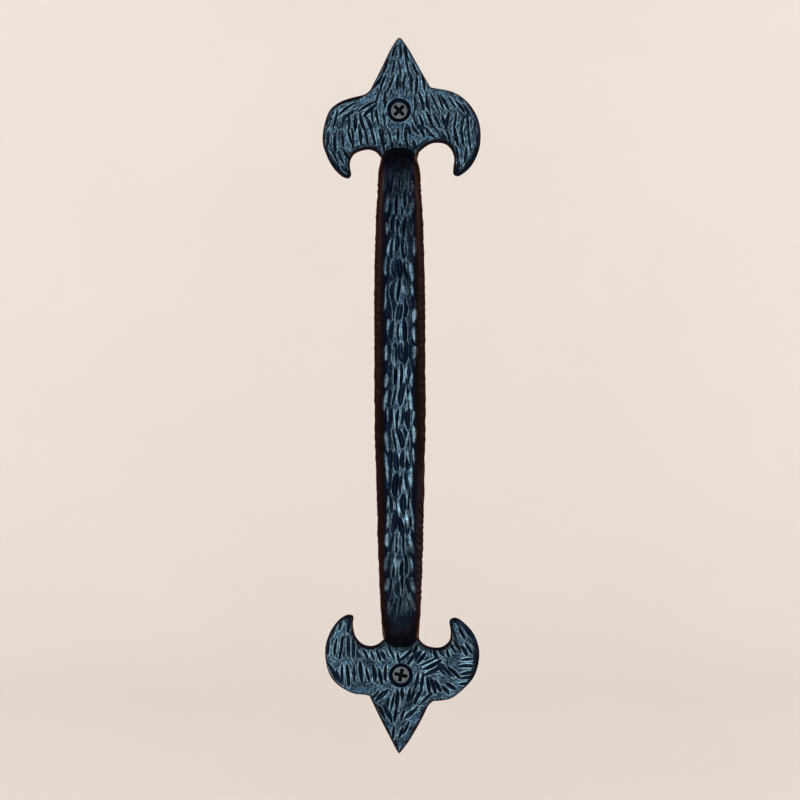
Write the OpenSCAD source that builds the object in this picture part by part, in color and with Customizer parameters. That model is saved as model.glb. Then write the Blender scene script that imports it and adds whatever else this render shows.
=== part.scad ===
// Hammered iron pull handle: a bowed grip riveted to two spade-and-hook end plates, with wood screws.
// The back of the plates lies on y = 0, the grip bows out towards -Y, and +Z runs up the handle.
// The origin is on the mounting plane, midway between the two screws.

/* [Plates] */
// Distance between the two fixing screws
screw_spacing = 250; // [240:1:260]
// Thickness of each end plate
plate_thick = 5; // [4:0.5:6]
// Width across the two hooks of an end plate
plate_w = 70; // [66:1:74]

/* [Grip] */
// How far the front of the grip stands off the mounting plane
projection = 44; // [40:1:48]
// Width of the grip at its widest
grip_w = 22; // [18:0.5:24]
// Diameter of the tenon that rivets each foot of the grip to its plate
tenon_d = 8; // [6:0.5:10]
// Diameter of the riveted end of a tenon, flush with the back of the plate
rivet_d = 10.4; // [10:0.2:12]
// Radial clearance between a tenon and its hole
tenon_gap = 0.05; // [0.02:0.01:0.1]

/* [Screws] */
// Overall length of a fixing screw
screw_length = 32; // [25:1:40]
// Diameter of the smooth shank behind the plate, which is also the thread's crest
shank_d = 4.2; // [3.8:0.1:4.3]
// Diameter just under the head, which tapers to the shank at the back of the plate
throat_d = 4.4; // [4.3:0.1:4.6]
// Diameter of the hole that a screw passes through
screw_hole_d = 4.6; // [4.6:0.1:5]
// Diameter of the flat head
head_d = 7.8; // [7.4:0.1:8.4]
// Included angle of the head and of its countersink
head_angle = 82; // [82:8:90]
// Diameter of the countersink's mouth on the face of the plate
countersink_d = 10.6; // [10:0.1:11]
// Distance from one thread ring to the next
thread_pitch = 1.8; // [1.6:0.1:2.4]
// Quarter turn position of the upper screw's cross
upper_turn = 45; // [0:1:89]
// Quarter turn position of the lower screw's cross
lower_turn = 13; // [0:1:89]

/* [Hidden] */
$fn = 64;
through = 1;
iron_black = [0.07, 0.08, 0.09];
screw_grey = [0.42, 0.43, 0.43];

screw_z = screw_spacing / 2;
plate_scale = plate_w / 70;
flank_slope = tan(head_angle / 2);

// The outlines are drawn from the screw's centre as [x, distance towards the plate's tip].
// Each stretch is a smooth curve through its points, and two stretches meet at a corner.
curve_steps = 5;
upper_left = [
    [[0.3, 32.5], [-0.8, 31.8], [-4, 26.8], [-8.3, 18], [-12.8, 9.3]],
    [[-12.8, 9.3], [-15.5, 7.4], [-21.5, 5.9], [-26.5, 4], [-30.8, 0.4], [-33.2, -6], [-34, -12.5],
     [-33, -17.5], [-30, -23.8], [-26, -28.2], [-22.8, -29.5], [-21.4, -27.8], [-21.9, -24.6],
     [-21.7, -21.5], [-19.6, -18.4], [-14.5, -16.7], [-10.6, -17.6], [-8.2, -20.2]],
];
upper_right = [
    [[0.3, 32.5], [1.4, 31.8], [4.8, 26.8], [9.7, 18], [13.9, 10.6]],
    [[13.9, 10.6], [16, 10.1], [22, 9], [27, 6.8], [31.6, 2.6], [35, -3.4], [36.2, -10],
     [35.4, -17.5], [32, -24.2], [27, -28.4], [24.2, -27.8], [24.1, -24.6], [24.5, -20.8],
     [23.2, -16.8], [20.2, -14.2], [15.5, -13.8], [11.8, -15.4], [8.8, -18]],
];
lower_left = [
    [[-0.8, 35], [-1.8, 34], [-4.5, 28.8], [-9, 20], [-14, 9.4]],
    [[-14, 9.4], [-16.4, 8.9], [-21.5, 8.2], [-27.6, 4.8], [-31.4, 0.4], [-33.2, -5.6], [-33.5, -12],
     [-31.6, -18.3], [-28, -23.5], [-24, -26.2], [-21.1, -25.6], [-21.3, -21.8],
     [-20.2, -16.8], [-17.2, -13.4], [-13.4, -12.3], [-10, -13.3], [-7.3, -15.6]],
];
lower_right = [
    [[-0.8, 35], [0.1, 34], [4, 28.8], [9.1, 20], [12.2, 13.8], [14.6, 11.8]],
    [[14.6, 11.8], [17.5, 11.7], [22.6, 10.5], [28, 6.3], [32.4, 1.2], [34.6, -5.6], [34.6, -12],
     [32.4, -17.8], [28, -22.7], [24.3, -24.8], [21.7, -23.4], [22.2, -18.8],
     [21.6, -14.6], [18.2, -11.8], [13.8, -11.7], [10.4, -13], [8.3, -15.2]],
];

// The neck of each plate passes under the grip's foot and ends in a half circle round its tenon.
neck_r = 7.5;
upper_foot = -23.8;
lower_foot = -19.8;

// The grip's stations from its upper foot to its lower one: the point of the front profile and the
// point of the back profile, each as [z, share of the projection], and the share of the full width.
// At the feet the share is replaced by the plate's face.
bow = [
    [[108.5, 0], [94, 0], 0.755],
    [[105.5, 0.33], [93.2, 0.2], 0.765],
    [[101.4, 0.58], [91, 0.35], 0.8],
    [[95, 0.77], [86, 0.475], 0.84],
    [[84, 0.875], [78, 0.56], 0.89],
    [[68, 0.93], [64, 0.605], 0.95],
    [[44, 0.975], [42, 0.645], 1],
    [[16, 1], [15, 0.665], 1],
    [[-14, 1], [-13, 0.665], 1],
    [[-42, 0.975], [-40, 0.645], 0.93],
    [[-66, 0.935], [-62, 0.605], 0.885],
    [[-85, 0.875], [-79, 0.56], 0.83],
    [[-97, 0.765], [-88, 0.475], 0.78],
    [[-104.6, 0.57], [-94, 0.35], 0.75],
    [[-109.4, 0.32], [-97, 0.2], 0.745],
    [[-112.6, 0], [-98, 0], 0.755],
];
ring_sides = 28;
ring_steps = 3;
// An exponent of 2 is an ellipse, and a larger one is squarer.
section_power = 2.3;

function spline_point(a, b, c, d, t) =
    0.5 * (2 * b + (c - a) * t + (2 * a - 5 * b + 4 * c - d) * t * t + (3 * b - a - 3 * c + d) * t * t * t);

function neighbour(points, i) = points[max(0, min(len(points) - 1, i))];

// A smooth curve through the points, with its last point left to the next stretch.
function smooth(points, steps) = [
    for (i = [0 : len(points) - 2], k = [0 : steps - 1])
        spline_point(neighbour(points, i - 1), points[i], points[i + 1], neighbour(points, i + 2), k / steps)
];

function side(stretches) = [for (stretch = stretches) each smooth(stretch, curve_steps)];

function reversed(points) = [for (i = [len(points) - 1 : -1 : 0]) points[i]];

function last(points) = points[len(points) - 1];

// Runs down the left side, round the neck and back up the right side to the tip.
function plate_outline(left, right, foot) = concat(
    side(left),
    [last(last(left))],
    [for (a = [180 : 10 : 360]) [neck_r * cos(a), foot + neck_r * sin(a)]],
    [last(last(right))],
    reversed([for (i = [1 : len(side(right)) - 1]) side(right)[i]])
);

// Carries an outline from the screw's own frame to the plane of the plates; way is 1 up and -1 down.
function placed(points, way) = [for (p = points) [p.x * plate_scale, way * (screw_z + p.y * plate_scale)]];

module along_front(depth) {
    rotate([90, 0, 0])
        linear_extrude(depth)
            children();
}

module screw_hole(z) {
    mouth_depth = (countersink_d - throat_d) / 2 / flank_slope;
    translate([0, through, z])
        rotate([90, 0, 0])
            cylinder(h = plate_thick + 2 * through, d = screw_hole_d);
    translate([0, -plate_thick, z])
        rotate([-90, 0, 0])
            cylinder(h = mouth_depth, d1 = countersink_d, d2 = throat_d);
}

// The tenon of a foot, headed over into the back of the plate. grow widens it into its own hole.
module tenon(z, root, grow) {
    head_height = (rivet_d - tenon_d) / 2;
    translate([0, -root, z])
        rotate([-90, 0, 0])
            cylinder(h = root, d = tenon_d + 2 * grow);
    translate([0, -head_height, z])
        rotate([-90, 0, 0])
            cylinder(h = head_height, d1 = tenon_d + 2 * grow, d2 = rivet_d + 2 * grow);
}

module end_plate(left, right, way, foot) {
    color(iron_black)
        difference() {
            along_front(plate_thick)
                polygon(placed(plate_outline(left, right, foot), way));
            screw_hole(way * screw_z);
            tenon(way * (screw_z + foot * plate_scale), plate_thick + through, tenon_gap);
        }
}

module upper_plate() {
    end_plate(upper_left, upper_right, 1, upper_foot);
}

module lower_plate() {
    end_plate(lower_left, lower_right, -1, lower_foot);
}

// One station of the grip with its shares turned into distances from the mounting plane.
function out_from_door(p, share) = [p, -max(plate_thick, share * projection)];

stations = [for (s = bow) [out_from_door(s[0].x, s[0].y), out_from_door(s[1].x, s[1].y), s[2] * grip_w / 2]];
fronts = concat(smooth([for (s = stations) s[0]], ring_steps), [last(stations)[0]]);
backs = concat(smooth([for (s = stations) s[1]], ring_steps), [last(stations)[1]]);
halves = concat(smooth([for (s = stations) s[2]], ring_steps), [last(stations)[2]]);

function squared(c) = sign(c) * pow(abs(c), 2 / section_power);

// A closed oval that reaches from the front profile to the back profile.
function ring(front, back, half) = [
    for (k = [0 : ring_sides - 1])
        let (a = 360 * k / ring_sides, centre = (front + back) / 2, reach = (front - back) / 2)
            let (p = centre + reach * squared(cos(a)))
                [half * squared(sin(a)), p.y, p.x]
];

module bow_body() {
    count = len(fronts);
    rings = [for (i = [0 : count - 1]) each ring(fronts[i], backs[i], halves[i])];
    walls = [
        for (i = [0 : count - 2], k = [0 : ring_sides - 1])
            let (next = (k + 1) % ring_sides, a = i * ring_sides, b = a + ring_sides)
                each [[a + k, a + next, b + next], [a + k, b + next, b + k]]
    ];
    top_cap = [for (k = [ring_sides - 1 : -1 : 0]) k];
    bottom_cap = [for (k = [0 : ring_sides - 1]) (count - 1) * ring_sides + k];
    polyhedron(points = rings, faces = concat(walls, [top_cap, bottom_cap]));
}

module grip() {
    root = plate_thick + 2;
    color(iron_black)
        union() {
            bow_body();
            tenon(screw_z + upper_foot * plate_scale, root, 0);
            tenon(-screw_z - lower_foot * plate_scale, root, 0);
        }
}

// The cross that a driver fits, narrowing with depth.
module cross_recess() {
    recess_d = 5.4;
    recess_depth = 2.4;
    wing = 1.3;
    intersection() {
        union() {
            translate([-recess_d / 2, -wing / 2, -recess_depth])
                cube([recess_d, wing, recess_depth + through]);
            translate([-wing / 2, -recess_d / 2, -recess_depth])
                cube([wing, recess_d, recess_depth + through]);
        }
        translate([0, 0, -recess_depth])
            cylinder(h = recess_depth + through, r1 = 0.9, r2 = 0.9 + (recess_depth + through) * 0.72);
    }
}

// The head sits below the plate's face, where its countersink is as wide as the head.
head_rim = 0.25;
seat_gap = 0.03;
head_top = plate_thick - (countersink_d - head_d) / 2 / flank_slope + head_rim + seat_gap;
throat_start = head_rim + (head_d - throat_d) / 2 / flank_slope;
throat_end = head_top - 0.05;
thread_start = screw_length * 0.36;
thread_end = screw_length - 4.5;
thread_root_r = shank_d / 2 - 0.6;
thread_rings = floor((thread_end - thread_start) / thread_pitch);

// Profile of the screw from its head down, as [radius, distance below the top of the head].
screw_profile = concat(
    [[0, 0], [head_d / 2, 0], [head_d / 2, head_rim]],
    [[throat_d / 2, throat_start], [shank_d / 2, throat_end], [shank_d / 2, thread_start]],
    [for (i = [0 : thread_rings - 1], groove = [[thread_root_r, 0.2], [thread_root_r, 0.6], [shank_d / 2, 0.9]])
        [groove.x, thread_start + thread_pitch * (i + groove.y)]],
    [[thread_root_r, thread_end], [0, screw_length]]
);

module wood_screw(z, turn) {
    color(screw_grey)
        translate([0, -head_top, z])
            rotate([90, 0, 0])
                difference() {
                    rotate_extrude()
                        polygon([for (p = screw_profile) [p.x, -p.y]]);
                    rotate([0, 0, turn])
                        cross_recess();
                }
}

module upper_screw() {
    wood_screw(screw_z, upper_turn);
}

module lower_screw() {
    wood_screw(-screw_z, lower_turn);
}

grip();
upper_plate();
lower_plate();
upper_screw();
lower_screw();
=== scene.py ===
"""A hammered iron pull handle: two hand-cut end plates, a bowed grip and two wood screws."""

import math

import bpy
import numpy as np
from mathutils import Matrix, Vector
from mathutils.bvhtree import BVHTree
from mathutils.kdtree import KDTree


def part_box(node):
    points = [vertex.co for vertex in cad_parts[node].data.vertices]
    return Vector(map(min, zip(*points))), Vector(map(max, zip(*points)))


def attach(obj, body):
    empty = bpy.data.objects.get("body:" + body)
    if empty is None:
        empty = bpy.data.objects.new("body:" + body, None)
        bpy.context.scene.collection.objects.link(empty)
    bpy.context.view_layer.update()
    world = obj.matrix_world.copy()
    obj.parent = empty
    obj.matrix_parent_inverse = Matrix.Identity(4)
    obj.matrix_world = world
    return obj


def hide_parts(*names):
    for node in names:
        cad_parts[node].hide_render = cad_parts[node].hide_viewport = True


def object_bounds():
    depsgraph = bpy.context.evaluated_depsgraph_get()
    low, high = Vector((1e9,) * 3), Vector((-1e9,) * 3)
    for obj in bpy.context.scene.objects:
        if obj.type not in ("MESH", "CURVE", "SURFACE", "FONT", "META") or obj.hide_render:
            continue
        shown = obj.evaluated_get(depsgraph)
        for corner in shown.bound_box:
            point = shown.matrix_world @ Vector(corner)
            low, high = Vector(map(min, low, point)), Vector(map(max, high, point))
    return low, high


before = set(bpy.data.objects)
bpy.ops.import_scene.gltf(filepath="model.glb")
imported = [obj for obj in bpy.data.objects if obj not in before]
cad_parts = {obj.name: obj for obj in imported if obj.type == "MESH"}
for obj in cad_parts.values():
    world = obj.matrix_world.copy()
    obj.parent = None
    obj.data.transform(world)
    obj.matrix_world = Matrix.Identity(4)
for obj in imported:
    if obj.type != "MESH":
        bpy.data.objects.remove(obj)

bl_info = {
    "name": "Hammered Pull Handle",
    "version": (1, 0, 0),
    "blender": (4, 5, 0),
    "location": "View3D > Sidebar > Pull Handle",
    "description": "Builds a hammered iron pull handle round its packed frame",
    "category": "Add Mesh",
}

CAD_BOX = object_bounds()
BODY = "root"
MM = 0.001
PLATE_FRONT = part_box("upper_plate")[0][1]
PLATE_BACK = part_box("upper_plate")[1][1]
SCREW_Z = {
    "upper_plate": (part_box("upper_screw")[0][2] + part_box("upper_screw")[1][2]) / 2,
    "lower_plate": (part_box("lower_screw")[0][2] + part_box("lower_screw")[1][2]) / 2,
}
OUTWARD = {"upper_plate": 1, "lower_plate": -1}

# Plates, in millimetres: half the width and half the height of the grip's footprint, and the
# radius of the bevel round each screw's countersink.
FOOT_HALF_WIDTH = 8.3
FOOT_REACH = 7.25
BEVEL_REACH = 5.3
# How much shallower and longer the upper plate's strokes are than the lower one's, and how much
# weaker the painted highlight on their lips is.
UPPER_DEPTH = 0.8
UPPER_LENGTH = 1.15
UPPER_LIP = 0.8
# The share of a plate's thickness that takes the paint of its front; the rest of its walls and its
# back take the painted side shade and warm reflection.
FRONT_SHARE = 0.7

# The lip round every stroke, in millimetres: how far outside the stroke it stands, its width and
# its height. Inside the stroke it has faded out by the depth LIP_GONE, and it is weaker round a
# stroke shallower than LIP_WHOLE.
# The same lip share also masks the painted highlight that the paint lays on the ridges.
LIP_REACH = 0.08
LIP_SPREAD = 0.3
LIP_HEIGHT = 0.05
LIP_GONE = 0.12
LIP_WHOLE = 0.55

# Grip, in millimetres: how far in from each end a bend turns, and how long the skin round it is.
BEND_INSET = 28
BEND_LENGTH = 38
# How strongly a ring's points crowd towards the front of the grip.
FRONT_CROWDING = 0.48
# Lengths of plain bar at each end and of the hammering's fade beside it.
PLAIN_END = 12
FADE = 9
# How far round from its front line the grip is hammered, how far its lit front with its painted
# highlight reaches, and where its leaves stop and its painted side shade begins.
HAMMERED = 20
LIT_FRONT = 5.2
FRONT_EDGE = 5.6
# Where along the grip its blows fan out and its right-hand flutes turn, each with the length
# over which they do.
FAN_START, FAN_LENGTH = 40, 25
TURN_START, TURN_LENGTH = 25, 30

# Courses of chisel strokes on each plate, in millimetres from its screw. A course runs from one
# stroke's centre to another's, each as (x, distance towards the plate's tip), and it gives the
# lean of its first and last strokes, in degrees clockwise from upright, and a stroke's length.
COURSES = {
    "upper_plate": (
        ((-2, 25.5), (3.2, 25), 18, -22, 7),
        ((-5.8, 19), (6.8, 18.5), 26, -28, 8),
        ((-9.8, 12.5), (11, 12), 30, -12, 8),
        ((-15.5, 5.8), (-12.5, 0.5), 64, 52, 9),
        ((-24.5, 3), (-22.5, -2), 60, 48, 8),
        ((-9.5, 5), (-6.5, 4), 20, 8, 8),
        ((-31, -4), (-13, -6), 14, -14, 8),
        ((-32, -13.5), (-21.5, -13.5), 4, -18, 9),
        ((-31, -19.5), (-23, -20), -20, -30, 8),
        ((-27.5, -25), (-24, -26), -32, -40, 5),
        ((-20.5, -11.8), (-8, -12.5), -12, -16, 8),
        ((-12, -3.5), (-6.8, -3), -12, -6, 7),
        ((-7.5, -10.5), (3, -10.5), -8, 2, 7),
        ((4.5, -9.5), (12.5, -10), -24, -34, 6),
        ((7, 3.5), (18.5, 3), -10, -20, 8),
        ((6.8, -4), (20, -5), -20, -25, 7),
        ((20, 4.5), (30, 0.5), -28, -40, 7),
        ((21.5, -4.5), (33.5, -6), 16, -4, 8),
        ((22, -12.5), (34.5, -12), -20, 4, 9),
        ((25.5, -19.5), (33, -18.5), -6, 16, 7),
        ((26, -25.5), (29, -24.5), 6, 20, 5),
        ((14, -9.8), (20, -10.8), -46, -34, 5),
        ((-6.5, -16.5), (7, -15.5), 12, -14, 4),
    ),
    "lower_plate": (
        ((-29.5, -21.5), (-23.2, -22.5), 22, 10, 8),
        ((-31.8, -12.5), (-20.8, -12), 8, 0, 11),
        ((-18.6, -9.8), (-9.5, -8.8), -16, -26, 6),
        ((-31.5, -3.5), (-27.5, 1.5), -20, -28, 7),
        ((-26, -1), (-6.5, -0.5), -9, -8, 10),
        ((-7.6, -9.6), (-1, -8.4), -26, -18, 6),
        ((2.6, -8.8), (9.5, -7), 42, 36, 8),
        ((12.5, -7), (15, -1.8), 68, 58, 10),
        ((13, -10.6), (20.6, -10), -18, -28, 5),
        ((23.5, -18.8), (30, -17.6), -24, -34, 8),
        ((22.5, -12.4), (33, -11), -28, -36, 7),
        ((29, -7.6), (29, 4.4), 88, 76, 8),
        ((17.5, -3), (23.5, -1), -34, -40, 9),
        ((6.8, 2), (14.5, 4), 10, -12, 9),
        ((16.6, 5.8), (22.5, 5.6), -22, -50, 6),
        ((-11.6, 9.8), (-7.4, 8.2), 44, 36, 7),
        ((-6, 12), (-1.5, 11.4), 18, 6, 8),
        ((0.8, 9), (3.2, 9), 0, 6, 6),
        ((4.8, 9.4), (10.8, 9.4), 30, 38, 9),
        ((-8.6, 15.8), (-4.6, 17.8), -24, -16, 7),
        ((-2.2, 18.4), (5.6, 16.4), 16, 38, 8),
        ((-3.2, 25), (2.4, 24), 6, 32, 7),
        ((-5.5, -12.6), (6.4, -12), -24, 30, 4),
    ),
}

# How wide the smooth rounded edge of each plate is, and with it the band of painted shade along
# it, as (x, distance towards the tip, width), in millimetres. The width anywhere on the edge is
# drawn from the nearest of these.
EDGE_WIDTHS = {
    "upper_plate": (
        (0, 32, 0.9), (-8, 18, 1.2), (8, 18, 0.9), (-22, 6, 2.0), (22, 9, 0.9), (-34, -8, 1.2),
        (36, -8, 3.0), (-31, -23, 2.6), (32, -24, 3.8), (-24, -29, 1.6), (27, -29, 2.6),
        (-21, -22, 0.8), (24, -22, 0.9), (-14, -17, 1.1), (16, -14, 1.1), (0, -20, 0.6),
    ),
    "lower_plate": (
        (0, 35, 1.0), (-9, 19, 1.6), (9, 19, 1.5), (-22, 8, 1.0), (22, 10, 1.0), (-33, -8, 1.0),
        (34, -8, 3.6), (-31, -20, 1.5), (30, -20, 3.6), (-23, -26, 1.6), (24, -25, 2.0),
        (-21, -20, 0.8), (22, -18, 0.8), (-13, -12, 0.9), (14, -12, 0.9), (0, -16, 0.6),
    ),
}


# ---- tools shared by the pieces

def activate(piece):
    """Selects one piece alone and makes it the active one."""
    bpy.ops.object.select_all(action="DESELECT")
    piece.select_set(True)
    bpy.context.view_layer.objects.active = piece


def edit_whole(piece):
    """Opens a piece in edit mode with all of it selected."""
    activate(piece)
    bpy.ops.object.mode_set(mode="EDIT")
    bpy.ops.mesh.select_all(action="SELECT")


def finish_edit():
    """Turns the open mesh's faces outwards and leaves edit mode."""
    bpy.ops.mesh.select_all(action="SELECT")
    bpy.ops.mesh.normals_make_consistent(inside=False)
    bpy.ops.object.mode_set(mode="OBJECT")


def close_skin(piece, gap):
    """Merges the doubles of a closed skin and turns its faces outwards."""
    edit_whole(piece)
    bpy.ops.mesh.remove_doubles(threshold=gap)
    finish_edit()


def frame_copy(node, name):
    """A separate copy of a frame node, with its loose triangles merged into one skin."""
    copy = bpy.data.objects.new(name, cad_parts[node].data.copy())
    bpy.context.collection.objects.link(copy)
    edit_whole(copy)
    bpy.ops.mesh.remove_doubles(threshold=0.005 * MM)
    bpy.ops.object.mode_set(mode="OBJECT")
    return copy


def add_grid(name, columns, rows, place=(0, 0, 0), turn=(0, 0, 0)):
    """A square grid with sides of one metre, ready to be shaped."""
    bpy.ops.object.select_all(action="DESELECT")
    bpy.ops.mesh.primitive_grid_add(
        x_subdivisions=columns, y_subdivisions=rows, size=1, location=place, rotation=turn)
    piece = bpy.context.active_object
    piece.name = name
    return piece


def grid_steps(places, steps):
    """Which row or column of such a grid each of its points stands in."""
    return np.rint((places + 0.5) * steps).astype(int)


def combine(piece, tool, operation):
    """Cuts, joins or intersects a piece with a tool solid, and removes the tool."""
    change = piece.modifiers.new(operation.lower(), "BOOLEAN")
    change.operation = operation
    change.solver = "MANIFOLD"
    change.object = tool
    activate(piece)
    bpy.ops.object.modifier_apply(modifier=change.name)
    bpy.data.objects.remove(tool, do_unlink=True)


def points_of(piece):
    """The piece's vertices as an array of x, y, z."""
    flat = np.empty(len(piece.data.vertices) * 3)
    piece.data.vertices.foreach_get("co", flat)
    return flat.reshape(-1, 3)


def set_points(piece, points):
    """Moves the piece's vertices to new places."""
    piece.data.vertices.foreach_set("co", points.ravel())
    piece.data.update()


def store(piece, name, values):
    """Keeps one number for each vertex, for the piece's material to read."""
    layer = piece.data.attributes.new(name, "FLOAT", "POINT")
    layer.data.foreach_set("value", values.astype(np.float32))


def lathe(name, profile, centre, steps):
    """Turns a profile of (radius, y) points about an axis along Y through centre."""
    mesh = bpy.data.meshes.new(name)
    places = [(centre[0] + r, y, centre[2]) for r, y in profile]
    mesh.from_pydata(places, [(i, i + 1) for i in range(len(places) - 1)], [])
    piece = bpy.data.objects.new(name, mesh)
    bpy.context.collection.objects.link(piece)
    edit_whole(piece)
    bpy.ops.mesh.spin(steps=steps, angle=2 * math.pi, center=centre, axis=(0, 1, 0))
    bpy.ops.object.mode_set(mode="OBJECT")
    close_skin(piece, 0.002 * MM)
    return piece


def finish_piece(piece, node, material, crease):
    """Shades a piece smooth up to a crease in degrees, and lets it stand for its frame node."""
    activate(piece)
    bpy.ops.object.shade_smooth_by_angle(angle=math.radians(crease))
    piece.data.materials.clear()
    piece.data.materials.append(material)
    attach(piece, BODY)
    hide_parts(node)


def rise(values, start, span):
    """0 up to start, then a straight rise to 1 over the span."""
    return np.clip((values - start) / span, 0, 1)


def fall(values, end, span):
    """1 at first, then a straight fall over the span to 0 at the end."""
    return np.clip((end - values) / span, 0, 1)


def waves(points, size, seed):
    """A smooth, irregular height between about -1 and 1, with swells of the given size."""
    draw = np.random.default_rng(seed)
    height = np.zeros(len(points))
    count = 7
    liveliness = 1.6
    for _ in range(count):
        turn = draw.uniform(0, 2 * math.pi)
        pitch = size * draw.uniform(0.7, 1.5)
        along = points[:, 0] * math.cos(turn) + points[:, 1] * math.sin(turn)
        height += np.sin(2 * math.pi * along / pitch + draw.uniform(0, 2 * math.pi))
    return height / count * liveliness


def along_mark(points, x, y, lean, length, bow):
    """The points near a mark, how far along it each is, from -1 to 1, and how far across it."""
    turn = math.radians(lean)
    dx, dy = points[:, 0] - x, points[:, 1] - y
    near = np.flatnonzero((np.abs(dx) < length) & (np.abs(dy) < length))
    along = (dx[near] * math.sin(turn) + dy[near] * math.cos(turn)) * 2 / length
    across = dx[near] * math.cos(turn) - dy[near] * math.sin(turn) + bow * (along ** 2 - 0.4)
    return near, along, across


def carve(points, strokes, fullness):
    """The depth that strokes leave at each flat point, and the share of a stroke's lip there.

    A stroke is (x, y, lean, length, width, depth, bow): a curved groove with sloping walls and a
    narrow floor. A full stroke keeps its width almost to its ends, and a thin one is a lens.
    """
    depth = np.zeros(len(points))
    lip = np.zeros(len(points))
    for x, y, lean, length, width, deep, bow in strokes:
        near, along, across = along_mark(points, x, y, lean, length, bow)
        taper = np.clip(1 - along ** 2, 0, 1)
        reach = width / 2 * taper ** (0.6 * (1 - fullness)) + 1e-9
        wall = np.clip((1 - np.abs(across) / reach) * (1.05 + 0.3 * fullness), 0, 1)
        depth[near] = np.maximum(depth[near], deep * taper ** 0.4 * wall)
        past = np.abs(across) - reach
        bead = np.exp(-((past - LIP_REACH) / LIP_SPREAD) ** 2)
        bead *= np.clip(1.25 - along ** 2, 0, 1) ** 0.5
        lip[near] = np.maximum(lip[near], bead * min(1, deep / LIP_WHOLE))
    return depth, lip * np.clip(1 - depth / LIP_GONE, 0, 1)


# ---- end plates

def on_face(points, node):
    """Points laid flat on a plate's face, in millimetres from its screw."""
    return (points[..., [0, 2]] - (0, SCREW_Z[node])) / MM


def front_outline(node, gap):
    """Points a gap apart along the outer edge of a plate's face, in millimetres from its screw."""
    copy = frame_copy(node, node + "_outline")
    mesh = copy.data
    corner = points_of(copy)
    walls = set()
    for face in mesh.polygons:
        if abs(face.normal.y) < 0.5:
            walls.update(face.edge_keys)
    outline = []
    for a, b in walls:
        if max(corner[a][1], corner[b][1]) < PLATE_FRONT + 0.01 * MM:
            start, end = on_face(corner[a], node), on_face(corner[b], node)
            steps = max(1, math.ceil(math.dist(start, end) / gap))
            outline += [start + (end - start) * k / steps for k in range(steps + 1)]
    bpy.data.objects.remove(copy, do_unlink=True)
    return np.array(outline)


def distance_to(points, targets):
    """Distance from each flat point to the nearest of the target points."""
    tree = KDTree(len(targets))
    for i, (x, z) in enumerate(targets):
        tree.insert((x, z, 0), i)
    tree.balance()
    return np.array([tree.find((x, z, 0))[2] for x, z in points])


def blended(points, places, values, power):
    """A value at each point, drawn from the values at a few places by nearness."""
    total = np.zeros(len(points))
    weight = np.zeros(len(points))
    for (x, y), value in zip(places, values):
        pull = 1 / (np.hypot(points[:, 0] - x, points[:, 1] - y) + 0.5) ** power
        total += pull * value
        weight += pull
    return total / weight


def course_strokes(node, sizes, draw):
    """Every stroke of a plate's courses, with the small changes of hand work."""
    strokes = []
    upper = node == "upper_plate"
    pitch = (sizes.upper_pitch if upper else sizes.lower_pitch) / MM
    width = (sizes.upper_stroke if upper else sizes.lower_stroke) / MM
    depth = sizes.stroke_depth / MM * (UPPER_DEPTH if upper else 1)
    stretch = UPPER_LENGTH if upper else 1
    for start, end, first_lean, last_lean, length in COURSES[node]:
        count = max(2, round(math.dist(start, end) / pitch) + 1)
        for i in range(count):
            t = i / (count - 1)
            x = start[0] + (end[0] - start[0]) * t + draw.uniform(-0.4, 0.4)
            out = start[1] + (end[1] - start[1]) * t + draw.uniform(-1.1, 1.1)
            lean = first_lean + (last_lean - first_lean) * t + draw.uniform(-8, 8)
            strokes.append((
                x, OUTWARD[node] * out, lean, length * draw.uniform(0.72, 1.12) * stretch,
                width * draw.uniform(0.7, 1.2), depth * draw.uniform(0.6, 1.25),
                draw.uniform(-0.5, 0.5)))
    return strokes


def stray_strokes(node, sizes, draw, strokes):
    """Short fine marks that follow the nearest course strokes."""
    low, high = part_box(node)
    marks = []
    for _ in range(sizes.upper_strays if node == "upper_plate" else sizes.lower_strays):
        x = draw.uniform(low[0], high[0]) / MM
        z = (draw.uniform(low[2], high[2]) - SCREW_Z[node]) / MM
        nearest = min(strokes, key=lambda s: math.hypot(s[0] - x, s[1] - z))
        marks.append((
            x, z, nearest[2] + draw.uniform(-35, 35), draw.uniform(1.5, 5), draw.uniform(0.4, 0.8),
            sizes.stroke_depth / MM * draw.uniform(0.2, 0.55), draw.uniform(-0.4, 0.4)))
    return marks


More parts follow.
